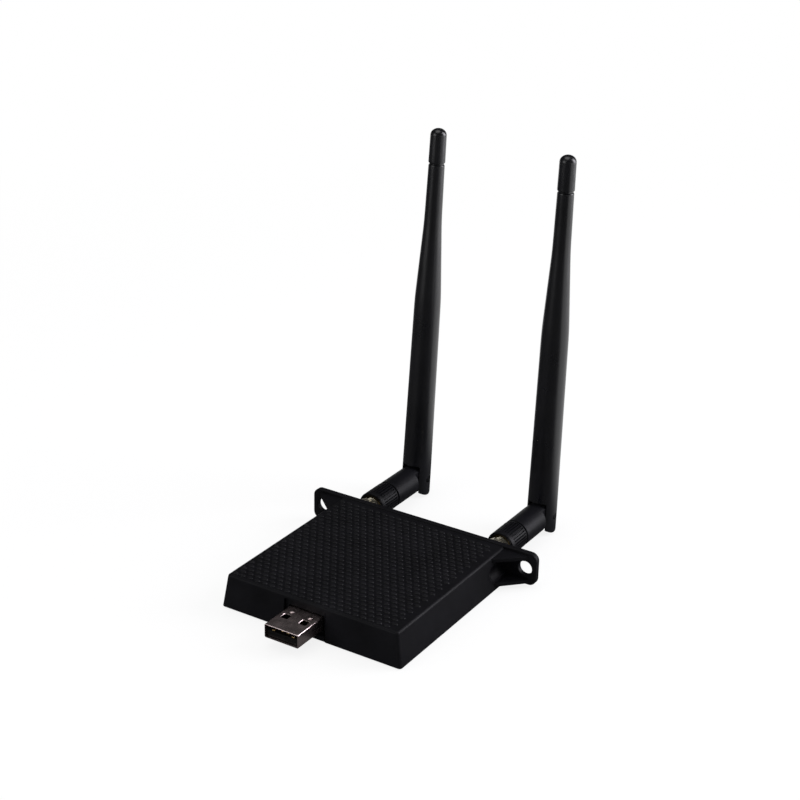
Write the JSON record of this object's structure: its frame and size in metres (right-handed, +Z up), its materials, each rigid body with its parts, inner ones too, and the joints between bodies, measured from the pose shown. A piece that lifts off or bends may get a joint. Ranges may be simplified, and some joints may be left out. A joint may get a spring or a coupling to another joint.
{
  "type": "usb wifi adapter",
  "caption": "Flat USB wireless adapter with a textured drafted case, screw ears on its rear plate and ribbed coupling nuts carrying tapered antennas that swivel and fold.",
  "frame": {"origin": "middle of the case's underside, on the bottom cover's flat face", "axes": "+X to the right seen from the plug, +Y from the USB plug towards the antennas, +Z up from the underside"},
  "size_m": [0.0836, 0.1213, 0.1265],
  "materials": {
    "case_plastic": "moulded black, textured on top",
    "antenna_plastic": "satin black",
    "plug_plastic": "moulded black",
    "plug_steel": "plated sheet",
    "plated_brass": "turned and plated",
    "gold_contact": "gold plated",
    "screw_steel": "blackened",
    "board_laminate": "solder resist",
    "can_steel": "tinned sheet",
    "chip_resin": "moulded",
    "lead_jacket": "extruded",
    "pale_insulator": "turned"
  },
  "bodies": {
    "housing": {"top_cover": "case_plastic", "bottom_cover": "case_plastic", "case_screw_1": "screw_steel", "case_screw_2": "screw_steel", "case_screw_3": "screw_steel", "case_screw_4": "screw_steel", "usb_shell": "plug_steel", "usb_tongue": "plug_plastic", "usb_contact_1": "gold_contact", "usb_contact_2": "gold_contact", "usb_contact_3": "gold_contact", "usb_contact_4": "gold_contact", "main_board": "board_laminate", "shield_can": "can_steel", "radio_chip": "chip_resin", "clock_crystal": "can_steel", "lead_socket_left": "plated_brass", "lead_socket_right": "plated_brass", "antenna_lead_left": "lead_jacket", "antenna_lead_right": "lead_jacket", "antenna_jack_left": "plated_brass", "antenna_jack_right": "plated_brass", "jack_insulator_left": "pale_insulator", "jack_insulator_right": "pale_insulator", "jack_pin_left": "gold_contact", "jack_pin_right": "gold_contact", "jack_washer_left": "plated_brass", "jack_washer_right": "plated_brass", "jack_nut_left": "plated_brass", "jack_nut_right": "plated_brass"},
    "left_nut": {"coupling_nut_left": "antenna_plastic", "nut_insert_left": "plated_brass"},
    "left_neck": {"neck_left": "antenna_plastic", "antenna_plug_left": "plated_brass", "plug_contact_left": "gold_contact"},
    "left_antenna": {"sheath_left": "antenna_plastic", "hinge_pin_left": "screw_steel", "dipole_left": "plated_brass", "tip_cap_left": "antenna_plastic"},
    "right_nut": {"coupling_nut_right": "antenna_plastic", "nut_insert_right": "plated_brass"},
    "right_neck": {"neck_right": "antenna_plastic", "antenna_plug_right": "plated_brass", "plug_contact_right": "gold_contact"},
    "right_antenna": {"sheath_right": "antenna_plastic", "hinge_pin_right": "screw_steel", "dipole_right": "plated_brass", "tip_cap_right": "antenna_plastic"}
  },
  "joints": [
    {"name": "left_swivel", "type": "hinge", "parent": "housing", "child": "left_neck", "pos_m": [-0.0244, 0.0323, 0.006], "axis": [0, -1, 0], "range_deg": [-10, 90]},
    {"name": "left_fold", "type": "hinge", "parent": "left_neck", "child": "left_antenna", "pos_m": [-0.0244, 0.0669, 0.006], "axis": [-1, 0, 0], "range_deg": [-4, 86]},
    {"name": "left_nut_spin", "type": "hinge", "parent": "housing", "child": "left_nut", "pos_m": [-0.0244, 0.0323, 0.006], "axis": [0, 1, 0], "continuous": true},
    {"name": "right_swivel", "type": "hinge", "parent": "housing", "child": "right_neck", "pos_m": [0.0244, 0.0323, 0.006], "axis": [0, 1, 0], "range_deg": [-10, 90]},
    {"name": "right_fold", "type": "hinge", "parent": "right_neck", "child": "right_antenna", "pos_m": [0.0244, 0.0669, 0.006], "axis": [-1, 0, 0], "range_deg": [-1.8, 88.2]},
    {"name": "right_nut_spin", "type": "hinge", "parent": "housing", "child": "right_nut", "pos_m": [0.0244, 0.0323, 0.006], "axis": [0, 1, 0], "continuous": true}
  ]
}
